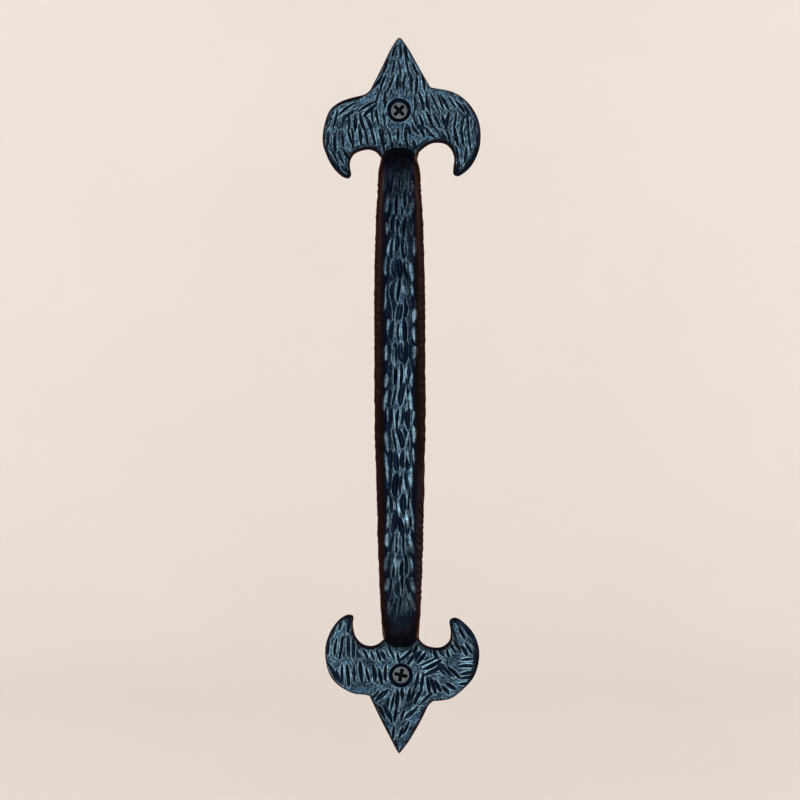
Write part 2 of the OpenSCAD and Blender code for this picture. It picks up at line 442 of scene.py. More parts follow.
class Hammering:
    """The shape that hand work gives one plate's face, at any point of it."""

    def __init__(self, node, sizes):
        draw = np.random.default_rng(sizes.seed + (node == "lower_plate"))
        self.node, self.sizes = node, sizes
        self.outline = front_outline(node, gap=0.15)
        self.strokes = course_strokes(node, sizes, draw)
        self.strokes += stray_strokes(node, sizes, draw, self.strokes)
        low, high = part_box("grip")
        foot_edge = high[2] if node == "upper_plate" else low[2]
        self.foot = (foot_edge - SCREW_Z[node]) / MM - OUTWARD[node] * FOOT_REACH
        self.places = [(x, OUTWARD[node] * out) for x, out, _ in EDGE_WIDTHS[node]]
        self.widths = [width for _, _, width in EDGE_WIDTHS[node]]

    def across_edge(self, face):
        """Distance in from the outline, and the share of the rounded edge's width that it makes."""
        edge = distance_to(face, self.outline)
        width = blended(face, self.places, self.widths, power=3)
        width *= 0.85 + 0.2 * waves(face, 9, self.sizes.seed + 11)
        return edge, np.clip(edge / width, 0, 1)

    def clear_of_foot(self, face):
        """0 under the grip's foot and 1 a little way from it."""
        foot = np.hypot(face[:, 0] / FOOT_HALF_WIDTH, (face[:, 1] - self.foot) / FOOT_REACH)
        return rise(foot, 1.02, 0.25)

    def marks(self, face, edge_share):
        """Depth and lips of the strokes, which stop short of the edge, the screw and the foot, and a
        ring of painted highlight round the screw's bevel.
        """
        from_screw = np.hypot(face[:, 0], face[:, 1])
        clear = rise(from_screw - BEVEL_REACH, 0.1, 0.7) * self.clear_of_foot(face)
        clear *= np.clip(edge_share * 2 - 1, 0, 1)
        depth, lip = carve(face, self.strokes, fullness=0.15)
        if self.node == "upper_plate":
            lip = UPPER_LIP * lip
        bevel = np.clip(BEVEL_REACH - from_screw, 0, 1)
        # A ring of painted highlight just outside the countersink's bevel.
        rim_highlight_width = 0.25
        ring = 0.3 * np.exp(-((from_screw - BEVEL_REACH - rim_highlight_width) / rim_highlight_width) ** 2)
        return depth * clear + bevel, np.maximum(lip * clear, ring)

    def depth(self, face):
        """Depth of the face below its flat plane, in millimetres."""
        sizes = self.sizes
        edge, share = self.across_edge(face)
        drop = sizes.edge_drop / MM * (1 - share) ** 1.25
        swell = waves(face, 14, sizes.seed + 3) + 0.5 * waves(face, 6, sizes.seed + 5)
        clear = self.clear_of_foot(face) * np.clip(edge / 2, 0, 1)
        swell = (sizes.swell / MM * (1.5 - swell) + LIP_HEIGHT) * clear
        grooves, lip = self.marks(face, share)
        return np.maximum(drop + swell + grooves - LIP_HEIGHT * lip, 0)


def plate_blank(node, hammering, cell):
    """A block with a hammered front, cut to the frame's plate."""
    low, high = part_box(node)
    margin = 1 * MM
    skin = 0.001 * MM
    width = high[0] - low[0] + 2 * margin
    height = high[2] - low[2] + 2 * margin
    middle = ((low[0] + high[0]) / 2, PLATE_FRONT + skin, (low[2] + high[2]) / 2)
    block = add_grid(
        node + "_hammered", round(width / cell), round(height / cell), middle, (math.pi / 2, 0, 0))
    block.scale = (width, height, 1)
    bpy.ops.object.transform_apply(location=True, rotation=True, scale=True)
    points = points_of(block)
    points[:, 1] += hammering.depth(on_face(points, node)) * MM
    set_points(block, points)
    activate(block)
    bpy.ops.object.mode_set(mode="EDIT")
    bpy.ops.mesh.select_all(action="DESELECT")
    bpy.ops.mesh.select_non_manifold()
    backwards = (0, PLATE_BACK - PLATE_FRONT + margin, 0)
    bpy.ops.mesh.extrude_region_move(TRANSFORM_OT_translate={"value": backwards})
    bpy.ops.mesh.edge_face_add()
    finish_edit()
    combine(block, frame_copy(node, node + "_cutter"), "INTERSECT")
    return block


def shape_plate(node, sizes):
    """One hammered plate, with the depth of its strokes kept for the paint as painted shade, along
    with painted shade on its rounded edge and in its countersink, painted highlight on its lips
    and painted side shade on its walls and back.
    """
    hammering = Hammering(node, sizes)
    piece = plate_blank(node, hammering, sizes.cell)
    points = points_of(piece)
    face = on_face(points, node)
    _, share = hammering.across_edge(face)
    depth, lip = hammering.marks(face, share)
    on_front = points[:, 1] < PLATE_FRONT + FRONT_SHARE * (PLATE_BACK - PLATE_FRONT)
    # Painted shade: the strokes, the rounded edge band and the countersink's bevel take the shade
    # paint.
    shade_share = np.maximum(depth / (sizes.stroke_depth / MM), (1 - share) * 1.5)
    shade_share = np.maximum(shade_share, np.hypot(face[:, 0], face[:, 1]) < BEVEL_REACH)
    store(piece, "groove", np.where(on_front, np.clip(shade_share, 0, 1), 1))
    # The lips and the countersink's ring carry the painted highlight.
    store(piece, "lip", np.where(on_front, lip, 0))
    # The walls and back take the painted side shade and warm reflection.
    store(piece, "side", np.where(on_front, 0, 1))
    return piece


# ---- grip

def grip_skin(sizes):
    """Rings of points on the frame's grip, from its upper foot to its lower one."""
    copy = frame_copy("grip", "grip_core")
    bvh = BVHTree.FromObject(copy, bpy.context.evaluated_depsgraph_get())
    low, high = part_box("grip")
    top, bottom = high[2] - BEND_INSET * MM, low[2] + BEND_INSET * MM
    straight = round((top - bottom) / sizes.ring_gap)
    bend = round(BEND_LENGTH * MM / sizes.ring_gap)
    # The end rings lean a hair less than a quarter turn, so that their rays still meet the bar.
    just_short = 0.998
    places = [(top, math.pi / 2 * (1 - i / bend) * just_short) for i in range(bend)]
    places += [(top + (bottom - top) * i / straight, 0.0) for i in range(straight + 1)]
    places += [(bottom, -math.pi / 2 * (i / bend) * just_short) for i in range(1, bend + 1)]
    rings = []
    for z, tilt in places:
        pivot = Vector((0, PLATE_FRONT, z))
        out = Vector((0, -math.cos(tilt), math.sin(tilt)))
        inner = bvh.ray_cast(pivot, out)[0]
        outer = bvh.ray_cast(inner + out * 2 * MM, out)[0]
        middle = (inner + outer) / 2
        ring = []
        for k in range(sizes.ring_sides):
            turn = 2 * math.pi * k / sizes.ring_sides
            turn -= FRONT_CROWDING * math.sin(turn)
            way = Vector((math.sin(turn), 0, 0)) + out * math.cos(turn)
            ring.append(bvh.ray_cast(middle, way)[0])
        rings.append([tuple(p) for p in ring])
    bpy.data.objects.remove(copy, do_unlink=True)
    return np.array(rings)


def softened(rings, along, around):
    """Smooths the rings along the grip and around it, and keeps the two end rings in place."""
    def blur(values, spread, axis, wrap):
        reach = int(spread * 3)
        steps = np.arange(-reach, reach + 1)
        weights = np.exp(-0.5 * (steps / spread) ** 2)
        weights /= weights.sum()
        pad = [(reach, reach) if a == axis else (0, 0) for a in range(3)]
        if wrap:
            padded = np.pad(values, pad, mode="wrap")
        else:
            padded = np.pad(values, pad, mode="reflect", reflect_type="odd")
        size = values.shape[axis]
        return sum(w * np.take(padded, range(i, i + size), axis=axis) for i, w in enumerate(weights))
    return blur(blur(rings, around, 1, True), along, 0, False)


def grip_strokes(length, sizes, draw):
    """The leaf-shaped blows on the front of the grip, in rows that are set half a leaf apart."""
    strokes = []
    row_gap, leaf = sizes.row_gap / MM, sizes.leaf_width / MM
    rows = math.ceil(length / MM / row_gap / 2)
    for row in range(-rows, rows + 1):
        drift = draw.uniform(-0.5, 0.5)
        lean = draw.uniform(-5, 5)
        splay = 9 * rise(row * row_gap, FAN_START, FAN_LENGTH)
        for column in range(-2, 3):
            x = (column + (row % 2) / 2) * leaf + drift
            missed = 0.04
            if abs(x) < FRONT_EDGE and draw.random() > missed:
                strokes.append((
                    x + draw.uniform(-0.5, 0.5), row * row_gap + draw.uniform(-1.3, 1.3),
                    lean + splay * x / leaf + draw.uniform(-11, 11),
                    sizes.leaf_length / MM * draw.uniform(0.75, 1.15),
                    leaf * draw.uniform(0.4, 1.25), sizes.leaf_depth / MM * draw.uniform(0.5, 1.2),
                    draw.uniform(-0.8, 0.8)))
    return strokes


def grip_facets(length, sizes, draw):
    """Narrow flats beside the rows of blows, and a few among them, that carry a painted highlight."""
    facets = []
    row_gap = sizes.row_gap / MM
    rows = math.ceil(length / MM / row_gap / 2)
    inner, outer = 4.4, 6.3
    for row in range(-rows, rows + 1):
        splay = 10 * rise(row * row_gap, FAN_START, FAN_LENGTH)
        left = -draw.uniform(inner, outer)
        centre = draw.uniform(-3.5, 3.5)
        right = draw.uniform(inner, outer)
        for x, narrowing in ((left, 1), (centre, 0.7), (right, 1)):
            facets.append((
                x, (row + draw.uniform(-0.3, 0.3)) * row_gap, splay * x / 4 + draw.uniform(-9, 9),
                draw.uniform(5.5, 9), draw.uniform(1.2, 2.7) * narrowing, draw.uniform(-0.5, 0.5)))
    return facets


def flatten(points, facets):
    """How much of each flat point lies on a facet, and how far it is across that facet."""
    share = np.zeros(len(points))
    offset = np.zeros(len(points))
    for x, y, lean, length, width, bow in facets:
        near, along, across = along_mark(points, x, y, lean, length, bow)
        reach = width / 2 * np.clip(1 - along ** 2, 0, 1) ** 0.5 + 1e-9
        flat = np.clip((1 - np.abs(across) / reach) * 2.5, 0, 1)
        better = flat > share[near]
        offset[near] = np.where(better, across, offset[near])
        share[near] = np.maximum(share[near], flat)
    return share, offset


def grip_flutes(length, sizes, draw):
    """Slanting flutes on both sides of the grip, which turn the other way low on its right."""
    strokes = []
    count = round(length / sizes.flute_pitch)
    lean, turn = 42, 116
    for side in (-1, 1):
        for i in range(count + 1):
            z = (i / count - 0.5) * length / MM + draw.uniform(-0.3, 0.3)
            low = rise(z, TURN_START, TURN_LENGTH) * (side > 0)
            strokes.append((
                side * draw.uniform(13.3, 14.1) - 3 * low, z,
                side * -lean + turn * low + draw.uniform(-5, 5),
                draw.uniform(11, 13) - 3.5 * low, sizes.flute_pitch / MM * 0.8,
                sizes.leaf_depth / MM * draw.uniform(0.4, 0.6),
                side * draw.uniform(0.6, 1.4) * (1 - 2.2 * low)))
    return strokes


def outward_normals(rings):
    """The way straight out of the skin at each point of its rings."""
    around = np.roll(rings, -1, 1) - np.roll(rings, 1, 1)
    normal = np.cross(around, np.gradient(rings, axis=0))
    normal /= np.linalg.norm(normal, axis=2, keepdims=True)
    outward = rings - rings.mean(axis=1, keepdims=True)
    return -normal if (normal * outward).sum() < 0 else normal


def unrolled(rings):
    """The skin laid flat in millimetres, as (round from the front line, along), and its length."""
    steps = np.linalg.norm(np.roll(rings, -1, 1) - rings, axis=2)
    around = np.concatenate([np.zeros((len(rings), 1)), np.cumsum(steps, axis=1)[:, :-1]], axis=1)
    girth = steps.sum(axis=1, keepdims=True)
    around = np.where(around > girth / 2, around - girth, around)
    gaps = np.linalg.norm(np.diff(rings.mean(axis=1), axis=0), axis=1)
    travel = np.concatenate([[0], np.cumsum(gaps)])
    length = travel[-1]
    along = np.broadcast_to((travel - length / 2)[:, None], around.shape)
    return np.stack([around, along], axis=2).reshape(-1, 2) / MM, length


def tube_of(rings, paint_values):
    """A closed tube through the rings, with each named value kept at every point."""
    count, sides = rings.shape[:2]
    piece = add_grid("grip_hammered", sides, count - 1)
    places = points_of(piece)
    row = grid_steps(places[:, 1], count - 1)
    column = grid_steps(places[:, 0], sides) % sides
    set_points(piece, rings[row, column])
    for name, values in paint_values.items():
        store(piece, name, values.reshape(count, sides)[row, column])
    edit_whole(piece)
    bpy.ops.mesh.remove_doubles(threshold=0.002 * MM)
    bpy.ops.mesh.select_all(action="DESELECT")
    bpy.ops.mesh.select_mode(type="EDGE")
    bpy.ops.mesh.select_non_manifold()
    bpy.ops.mesh.edge_face_add()
    bpy.ops.mesh.select_mode(type="VERT")
    finish_edit()
    return piece


def shape_grip(sizes):
    """The bow as a fine tube, hammered along its length."""
    rings = softened(grip_skin(sizes), along=4.0, around=3.0)
    count, sides = rings.shape[:2]
    rings[0, :, 1] = PLATE_FRONT
    rings[-1, :, 1] = PLATE_FRONT
    normal = outward_normals(rings)
    flat, length = unrolled(rings)
    height = rings[:, 0, 2].repeat(sides) / MM
    from_front = np.abs(flat[:, 0])
    texture_end = rings[:, :, 2].max() / MM - PLAIN_END
    fade = fall(np.abs(height), texture_end, FADE)

    draw = np.random.default_rng(sizes.seed + 2)
    strokes = grip_strokes(length, sizes, draw) + grip_flutes(length, sizes, draw)
    grooves, lip = carve(flat, strokes, fullness=0.45)
    facet, across = flatten(flat, grip_facets(length, sizes, draw))
    facet *= fade
    grooves *= 1 - facet
    # The lit front, where the lips and noisy patches take a painted highlight.
    lit_front = fade * fall(from_front, LIT_FRONT, 1.4)
    highlight_share = np.clip(0.06 + 0.2 * waves(flat, 5, sizes.seed + 9), 0, 0.35)
    lip = np.maximum(lip, highlight_share * np.clip(1 - grooves / LIP_GONE, 0, 1)) * lit_front
    # The facets take a bright painted highlight.
    lip = np.maximum(lip, facet * np.clip(0.55 + 0.4 * waves(flat, 7, sizes.seed + 8), 0.1, 1))
    # The painted highlight is stronger towards the lower end of the grip and weaker towards the upper.
    lip *= 0.72 - 0.22 * np.clip(height / 50, -1, 1)
    grooves *= fade * fall(from_front, HAMMERED, 3)

    off_plate = np.abs(rings[:, :, 1].reshape(-1) - PLATE_FRONT)
    swell = sizes.swell / MM * waves(flat, 11, sizes.seed + 7) * rise(off_plate, 0, 3 * MM)
    lift = (grooves - swell - LIP_HEIGHT * lip) * MM
    rings = rings - normal * lift.reshape(count, sides, 1)
    rings[:, :, 1] -= normal[:, :, 0] * (across * facet * MM).reshape(count, sides)

    leaf_depth = sizes.leaf_depth / MM
    # Painted shade: half over the front, full in the leaves and on the sides, less on the facets.
    shade_share = np.clip(1.3 * grooves / leaf_depth, 0, 1)
    shade_share = np.maximum(shade_share, np.clip((from_front - 2.8) / 2.2, 0.5, 1)) * (1 - 0.6 * facet)
    # A little painted shade on the plain ends by the feet.
    shade_share = np.maximum(shade_share, 0.15 * rise(np.abs(height) - texture_end, -3, 6))
    # Painted side shade and warm reflection beyond the front, weaker in the flutes.
    side = rise(from_front, FRONT_EDGE, 2.2) * (1 - 0.7 * np.clip(grooves / leaf_depth, 0, 1))
    # A faint painted highlight on the flutes low on the grip's right side.
    low = rise(flat[:, 1], TURN_START, TURN_LENGTH) * rise(flat[:, 0], 6.5, 1.5) * fade
    lip = np.maximum(lip, 0.12 * low * np.clip(1 - grooves / 0.25, 0, 1))
    return tube_of(rings, {"groove": np.clip(shade_share, 0, 1), "lip": lip, "side": side})


def tenon(name, z, sizes):
    """A round tenon with its end headed over in the back of the plate."""
    root = PLATE_FRONT - 2 * MM
    r, head = sizes.tenon / 2, sizes.rivet / 2
    rounding = 0.15 * MM
    profile = [
        (0, root), (r, root), (r, PLATE_BACK - (head - r)), (head, PLATE_BACK - rounding),
        (head - rounding, PLATE_BACK), (0, PLATE_BACK)]
    piece = lathe(name, profile, (0, 0, z), steps=64)
    # The tenon takes the painted side shade and warm reflection.
    store(piece, "side", np.ones(len(piece.data.vertices)))
    return piece


# ---- screws

def cross_cutter(top, z, turn, sizes):
    """A cross that narrows with depth, standing on the head's centre."""
    parts = []
    for extra in (0, math.pi / 2):
        bpy.ops.object.select_all(action="DESELECT")
        bpy.ops.mesh.primitive_cube_add(size=1)
        wing = bpy.context.active_object
        places = points_of(wing)
        deep = places[:, 1] > 0
        length = np.where(deep, sizes.recess_floor, sizes.recess)
        width = np.where(deep, sizes.wing * 0.75, sizes.wing)
        x, w = places[:, 0] * length, places[:, 2] * width
        y = np.where(deep, top + sizes.recess_depth, top - 0.5 * MM)
        cos, sin = math.cos(turn + extra), math.sin(turn + extra)
        set_points(wing, np.stack([x * cos - w * sin, y, z + x * sin + w * cos], axis=1))
        close_skin(wing, 0.001 * MM)
        parts.append(wing)
    combine(parts[0], parts[1], "UNION")
    return parts[0]


def shape_screw(node, turn, sizes):
    """A flat-head wood screw: cone head, smooth shank, helical thread, gimlet point and cross."""
    low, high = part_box(node)
    z = (low[2] + high[2]) / 2
    top, tip = low[1], high[1]
    # A head a little smaller than its countersink leaves the dark ring round it.
    head = (high[0] - low[0]) / 2 * 0.95
    shank = sizes.shank / 2
    cone = (head - shank) / math.tan(math.radians(sizes.head_angle / 2))
    rim = 0.25 * MM
    rounding = 0.12 * MM
    smooth_end = top + (tip - top) * 0.36
    profile = [
        (0, top), (head * 0.5, top), (head - rounding * 2.2, top),
        (head - rounding * 0.6, top + rounding * 0.35), (head, top + rounding * 1.2),
        (head, top + rim), (shank, top + rim + cone)]
    gap = sizes.thread_pitch / 12
    thread = np.arange(smooth_end - sizes.thread_pitch, tip - 0.05 * MM, gap)
    smooth = thread[0] - top - rim - cone
    profile += [(shank, top + rim + cone + smooth * k / 4) for k in range(1, 4)]
    profile += [(shank, y) for y in thread] + [(0.05 * MM, tip - 0.02 * MM), (0, tip)]
    piece = lathe(node + "_cut", profile, (0, 0, z), steps=48)

    points = points_of(piece)
    x, y, up = points[:, 0], points[:, 1], points[:, 2] - z
    radius = np.hypot(x, up)
    turned = np.arctan2(up, x) / (2 * math.pi)
    phase = np.mod((y - thread[0]) / sizes.thread_pitch - turned, 1)
    crest = np.clip(1 - np.abs(phase - 0.5) / 0.3, 0, 1) ** 0.8
    start = np.clip((y - thread[0]) / sizes.thread_pitch, 0, 1)
    point = np.clip((tip - y) / (5.5 * MM), 0.02, 1) ** 0.75
    root = shank - (shank - sizes.thread_root / 2) * start
    wanted = (root + (shank - root) * crest) * point
    threaded = (y > thread[0] - 0.01 * MM) & (radius > 0.1 * MM)
    scale = np.where(threaded, wanted / np.maximum(radius, 1e-9), 1)
    points[:, 0] = x * scale
    points[:, 2] = z + up * scale
    set_points(piece, points)
    combine(piece, cross_cutter(top, z, turn, sizes), "DIFFERENCE")
    # The faces inside the cross, which the paint fills with painted shade near black.
    layer = piece.data.attributes.new("recess", "FLOAT", "FACE")
    for face in piece.data.polygons:
        reach = Vector((face.center.x, face.center.z - z))
        inward = face.normal.x * reach.x + face.normal.z * reach.y <= 0.05 * reach.length
        deep = top + 0.02 * MM < face.center.y < top + sizes.recess_depth * 1.1
        layer.data[face.index].value = float(inward and deep and reach.length < sizes.recess / 2)
    return piece


# ---- materials

def new_material(name, colour, roughness):
    """A material with one Principled shader."""
    material = bpy.data.materials.new(name)
    material.use_nodes = True
    shader = material.node_tree.nodes["Principled BSDF"]
    shader.inputs["Base Color"].default_value = (*colour, 1)
    shader.inputs["Roughness"].default_value = roughness
    return material, material.node_tree, shader


def add_attribute(tree, name):
    """A number kept on the piece's mesh."""
    node = tree.nodes.new("ShaderNodeAttribute")
    node.attribute_name = name
    return node.outputs["Fac"]


def add_noise(tree, scale, detail, seed):
    """A noise pattern on the piece's own coordinates."""
    place = tree.nodes.new("ShaderNodeTexCoord")
    noise = tree.nodes.new("ShaderNodeTexNoise")
    noise.noise_dimensions = "4D"
    noise.inputs["W"].default_value = seed
    noise.inputs["Scale"].default_value = scale
    noise.inputs["Detail"].default_value = detail
    tree.links.new(place.outputs["Object"], noise.inputs["Vector"])
    return noise.outputs["Fac"]


def add_ramp(tree, source, stops):
    """Turns a number into a colour by two stops of (place, colour)."""
    ramp = tree.nodes.new("ShaderNodeValToRGB")
    tree.links.new(source, ramp.inputs["Fac"])
    for point, (place, colour) in zip(ramp.color_ramp.elements, stops):
        point.position = place
        point.color = (*colour, 1)
    return ramp.outputs["Color"]


def add_range(tree, source, low, high, from_low=0.0, from_high=1.0):
    """Maps a number from one range to another."""
    span = tree.nodes.new("ShaderNodeMapRange")
    span.inputs["From Min"].default_value = from_low
    span.inputs["From Max"].default_value = from_high
    span.inputs["To Min"].default_value = low
    span.inputs["To Max"].default_value = high
    tree.links.new(source, span.inputs["Value"])
    return span.outputs["Result"]


def add_math(tree, operation, first, second):
    """Joins two numbers, each a socket or a plain value."""
    node = tree.nodes.new("ShaderNodeMath")
    node.operation = operation
    for socket, value in zip(node.inputs, (first, second)):
        if isinstance(value, (int, float)):
            socket.default_value = value
        else:
            tree.links.new(value, socket)
    return node.outputs["Value"]


def shade(colour, share):
    """A colour made darker or lighter by a share."""
    return tuple(c * share for c in colour)


def add_mix(tree, factor, first, second):
    """Mixes two colours by a number."""
    node = tree.nodes.new("ShaderNodeMix")
    node.data_type = "RGBA"
    tree.links.new(factor, node.inputs["Factor"])
    for socket, value in zip((node.inputs["A"], node.inputs["B"]), (first, second)):
        if isinstance(value, tuple):
            socket.default_value = (*value, 1)
        else:
            tree.links.new(value, socket)
    return node.outputs["Result"]


def add_bump(tree, shader, layers):
    """Stacks bumps of (height socket, distance) on a shader's normal."""
    normal = None
    for height, distance in layers:
        bump = tree.nodes.new("ShaderNodeBump")
        bump.inputs["Distance"].default_value = distance
        bump.inputs["Strength"].default_value = 1
        tree.links.new(height, bump.inputs["Height"])
        if normal is not None:
            tree.links.new(normal, bump.inputs["Normal"])
        normal = bump.outputs["Normal"]
    tree.links.new(normal, shader.inputs["Normal"])


def black_iron(finish):
    """Satin black paint over hammered iron, duller in the strokes. It lays painted shade in the
    strokes, on the plates' edges and countersinks and on the grip's sides, a warm painted
    reflection on the sides and backs, and a painted highlight on the lips and facets.
    """
    material, tree, shader = new_material("satin_paint", tuple(finish.paint), finish.paint_roughness)
    # groove carries the painted shade, and lip the painted highlight.
    groove = add_attribute(tree, "groove")
    lip = add_attribute(tree, "lip")
    patches = add_noise(tree, 260, 3, 1)
    speckle = add_noise(tree, 1000, 4, 4)
    coarse = add_range(tree, patches, -0.6, 0.6)
    fine = add_range(tree, speckle, -1.6, 1.6)
    mottle = add_range(tree, add_math(tree, "ADD", coarse, fine), 0, 1, -0.3, 0.3)
    colour = add_mix(tree, mottle, shade(finish.paint, 0.22), shade(finish.paint, 1.5))
    # Painted shade over the strokes, edges, countersinks and the grip's sides.
    colour = add_mix(tree, groove, colour, tuple(finish.shade_paint))
    # Painted side shade and warm reflection on the grip's sides, the tenons and the plates' walls and
    # backs.
    colour = add_mix(tree, add_attribute(tree, "side"), colour, tuple(finish.side_shade_paint))
    # Painted highlight on the lips and facets, broken up by noise.
    highlight_share = add_math(tree, "MULTIPLY", lip, add_range(tree, patches, 0.25, 1, 0.35, 0.6))
    highlight_share = add_math(tree, "MULTIPLY", highlight_share, add_range(tree, speckle, 0.7, 1.6, 0.38, 0.62))
    colour = add_mix(tree, highlight_share, colour, tuple(finish.highlight_paint))
    tree.links.new(colour, shader.inputs["Base Color"])
    rough = add_math(tree, "ADD", add_range(tree, patches, -0.06, 0.08), finish.paint_roughness)
    rough = add_math(tree, "ADD", rough, add_range(tree, groove, 0, 0.1))
    tree.links.new(rough, shader.inputs["Roughness"])
    shader.inputs["Metallic"].default_value = 0.9
    shader.inputs["Specular Tint"].default_value = (*finish.edge_tint, 1)
    add_bump(tree, shader, [(speckle, 0.03 * MM), (add_noise(tree, 600, 3, 3), 0.06 * MM)])
    return material


def screw_steel(finish):
    """Dull zinc-grey steel, darker in patches where dirt has settled, with painted shade
    near black in the cross.
    """
    material, tree, shader = new_material("dull_steel", tuple(finish.steel), 0.5)
    patches = add_noise(tree, 600, 4, 5)
    steel = add_ramp(tree, patches, [(0.3, shade(finish.steel, 0.7)), (0.65, tuple(finish.steel))])
    # Painted shade: the cross recess is painted near black.
    colour = add_mix(tree, add_attribute(tree, "recess"), steel, shade(finish.steel, 0.01))
    tree.links.new(colour, shader.inputs["Base Color"])
    tree.links.new(add_range(tree, patches, 0.5, 0.65), shader.inputs["Roughness"])
    shader.inputs["Metallic"].default_value = 0.9
    add_bump(tree, shader, [(add_noise(tree, 2500, 3, 6), 0.02 * MM)])
    return material


def pale_paper(stage):
    """Matt pale paper with a very faint mottle."""
    material, tree, shader = new_material("pale_paper", tuple(stage.colour), 0.9)
    mottle = add_noise(tree, 3, 2, 8)
    colour = add_ramp(tree, mottle, [(0.2, shade(stage.colour, 0.97)), (0.8, tuple(stage.colour))])
    tree.links.new(colour, shader.inputs["Base Color"])
    return material


# ---- sizes and colours

def length_setting(name, description, default):
    """A size in metres, shown finely enough for a hammer mark."""
    return bpy.props.FloatProperty(
        name=name, description=description, default=default, unit="LENGTH", precision=5)


def colour_setting(name, description, default):
    """A colour in linear red, green and blue."""
    return bpy.props.FloatVectorProperty(
        name=name, description=description, default=default, subtype="COLOR")


def angle_setting(name, description, default):
    """An angle in radians, shown in degrees."""
    return bpy.props.FloatProperty(
        name=name, description=description, default=default, subtype="ANGLE")


def count_setting(name, description, default):
    """A whole number."""
    return bpy.props.IntProperty(name=name, description=description, default=default)


def number_setting(name, description, default, unit="NONE"):
    """A plain number, or one with a unit other than length."""
    return bpy.props.FloatProperty(name=name, description=description, default=default, unit=unit)


class PlateSizes(bpy.types.PropertyGroup):
    """Sizes of the marks and edges of the end plates."""
    cell: length_setting("Cell", "Size of a cell of the face", 0.2 * MM)
    edge_drop: length_setting("Edge drop", "How far the edge rounds down", 2.8 * MM)
    stroke_depth: length_setting("Stroke depth", "Depth of a chisel stroke", 0.62 * MM)
    upper_pitch: length_setting("Upper pitch", "Gap between strokes on the upper plate", 3.1 * MM)
    lower_pitch: length_setting("Lower pitch", "Gap between strokes on the lower plate", 2.75 * MM)
    upper_stroke: length_setting("Upper stroke", "Width of a stroke on the upper plate", 1.5 * MM)
    lower_stroke: length_setting("Lower stroke", "Width of a stroke on the lower plate", 1.8 * MM)
    upper_strays: count_setting("Upper strays", "Fine stray marks on the upper plate", 450)
    lower_strays: count_setting("Lower strays", "Fine stray marks on the lower plate", 160)
    swell: length_setting("Swell", "Unevenness of the face", 0.16 * MM)
    seed: count_setting("Seed", "Changes the hand work", 7)


class GripSizes(bpy.types.PropertyGroup):
    """Sizes of the grip's skin, its blows and its tenons."""
    ring_gap: length_setting("Ring gap", "Distance between rings of the skin", 0.46 * MM)
    ring_sides: count_setting("Ring sides", "Points in a ring of the skin", 172)
    leaf_width: length_setting("Leaf width", "Width of a leaf-shaped blow", 2.6 * MM)
    leaf_length: length_setting("Leaf length", "Length of a leaf-shaped blow", 9 * MM)
    leaf_depth: length_setting("Leaf depth", "Depth of a leaf-shaped blow", 0.7 * MM)
    row_gap: length_setting("Row gap", "Distance between rows of blows", 8.9 * MM)
    flute_pitch: length_setting("Flute pitch", "Gap between the slanting side flutes", 3.1 * MM)
    swell: length_setting("Swell", "Unevenness of the bar", 0.12 * MM)
    tenon: length_setting("Tenon", "Diameter of a tenon", 8 * MM)
    rivet: length_setting("Rivet", "Diameter of a tenon's headed end", 10.3 * MM)
    seed: count_setting("Seed", "Changes the hand work", 21)


class ScrewSizes(bpy.types.PropertyGroup):
    """Sizes of the wood screws."""
    shank: length_setting("Shank", "Diameter of the smooth shank", 4.2 * MM)
    thread_root: length_setting("Thread root", "Diameter at the bottom of the thread", 2.9 * MM)
    thread_pitch: length_setting("Thread pitch", "Advance of the thread in one turn", 1.8 * MM)
    head_angle: number_setting("Head angle", "Included angle of the head, in degrees", 82)
    recess: length_setting("Recess", "Span of the cross at the top", 6.5 * MM)
    recess_floor: length_setting("Recess floor", "Span of the cross at the bottom", 3 * MM)
    recess_depth: length_setting("Recess depth", "Depth of the cross", 2.3 * MM)
    wing: length_setting("Wing", "Width of an arm of the cross", 1.7 * MM)
    upper_turn: angle_setting("Upper turn", "Turn of the upper cross", math.radians(45))
    lower_turn: angle_setting("Lower turn", "Turn of the lower cross", math.radians(-13))


class Finish(bpy.types.PropertyGroup):
    """Colours and gloss of the iron and the screws."""
    paint: colour_setting("Paint", "Paint on the faces", (0.0115, 0.0275, 0.0435))
    # Painted shade for the strokes, the plates' edges and countersinks and the grip's sides.
    shade_paint: colour_setting(
        "Groove paint", "Paint in the strokes and on the edges", (0.0025, 0.009, 0.024))
    # Painted highlight for the lips of the strokes, the countersinks' rims and the grip's facets.
    highlight_paint: colour_setting("Worn paint", "Paint on the lips of the strokes", (0.135, 0.235, 0.305))
    # Painted side shade with a warm painted reflection, for the grip's sides, the tenons and the
    # plates' walls and backs.
    side_shade_paint: colour_setting(
        "Side paint", "Dull paint on the grip's sides and the plates' backs", (0.0105, 0.008, 0.0075))
    edge_tint: colour_setting(
        "Edge tint", "Tint of the paint's gloss at a glancing angle", (0.5, 0.2, 0.1))
    paint_roughness: number_setting("Paint roughness", "How satin the paint is", 0.3)
    steel: colour_setting("Steel", "Grey of the screws", (0.11, 0.135, 0.15))


